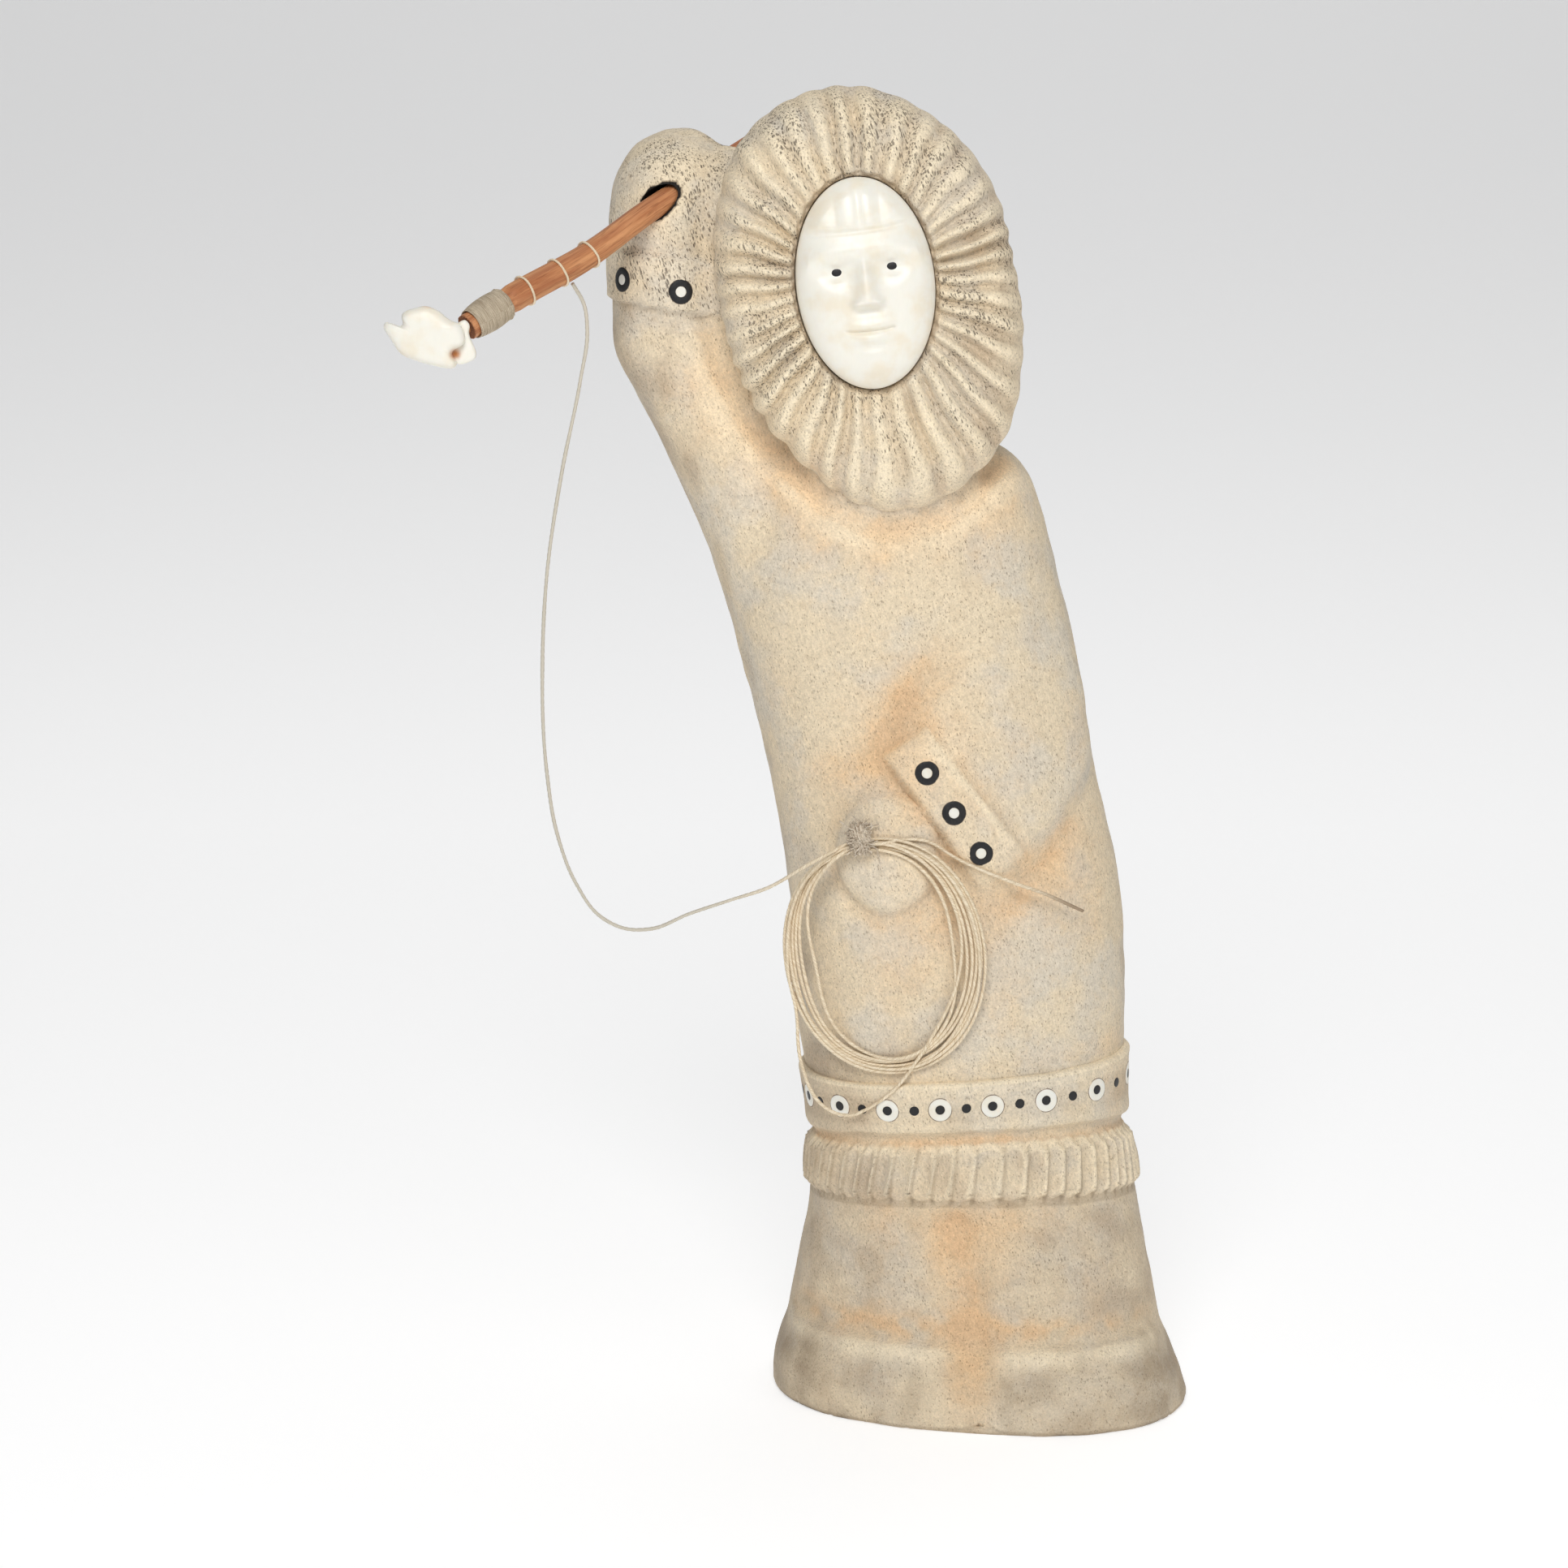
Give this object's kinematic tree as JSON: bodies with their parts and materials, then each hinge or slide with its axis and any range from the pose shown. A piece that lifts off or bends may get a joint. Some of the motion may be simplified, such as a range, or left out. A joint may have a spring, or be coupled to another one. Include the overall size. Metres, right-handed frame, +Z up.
{
  "type": "bone fisherman carving",
  "caption": "Standing parka-clad fisherman carved in weathered bone, one fist raised with an ivory-headed wooden harpoon, its sinew line coiled and tied at the other mitten.",
  "frame": {"origin": "middle of the flat underside", "axes": "+Z up, the figure faces -Y, its raised fist is on the -X side"},
  "size_m": [0.2176, 0.1073, 0.3696],
  "materials": {
    "bone": "dry, porous weathered bone with darker pores, orange-tan hollows and grey worn highs",
    "ivory": "polished near-white ivory",
    "horn": "black satin horn",
    "wood": "whittled reddish-brown wood, lightly oiled",
    "sinew": "dry twisted sinew, beige"
  },
  "bodies": {
    "root": {"fisherman_figure": "bone", "ivory_face": "ivory", "left_eye_peg": "horn", "right_eye_peg": "horn", "hem_stud_1": "ivory", "hem_stud_1_eye": "horn", "hem_dot_1": "horn", "hem_stud_2": "ivory", "hem_stud_2_eye": "horn", "hem_dot_2": "horn", "hem_stud_3": "ivory", "hem_stud_3_eye": "horn", "hem_dot_3": "horn", "hem_stud_4": "ivory", "hem_stud_4_eye": "horn", "hem_dot_4": "horn", "hem_stud_5": "ivory", "hem_stud_5_eye": "horn", "hem_dot_5": "horn", "hem_stud_6": "ivory", "hem_stud_6_eye": "horn", "hem_dot_6": "horn", "hem_stud_7": "ivory", "hem_stud_7_eye": "horn", "hem_dot_7": "horn", "hem_stud_8": "ivory", "hem_stud_8_eye": "horn", "hem_dot_8": "horn", "hem_stud_9": "ivory", "hem_stud_9_eye": "horn", "lower_cuff_stud_1": "horn", "lower_cuff_stud_1_eye": "ivory", "lower_cuff_stud_2": "horn", "lower_cuff_stud_2_eye": "ivory", "lower_cuff_stud_3": "horn", "lower_cuff_stud_3_eye": "ivory", "raised_cuff_stud_1": "horn", "raised_cuff_stud_1_eye": "ivory", "raised_cuff_stud_2": "horn", "raised_cuff_stud_2_eye": "ivory", "harpoon_shaft": "wood", "shaft_band_1": "sinew", "shaft_band_2": "sinew", "shaft_band_3": "sinew", "front_lashing": "sinew", "foreshaft": "wood", "harpoon_head": "ivory", "sinew_line": "sinew", "line_coil": "sinew", "line_knot": "sinew", "line_tail": "sinew"}
  },
  "joints": []
}
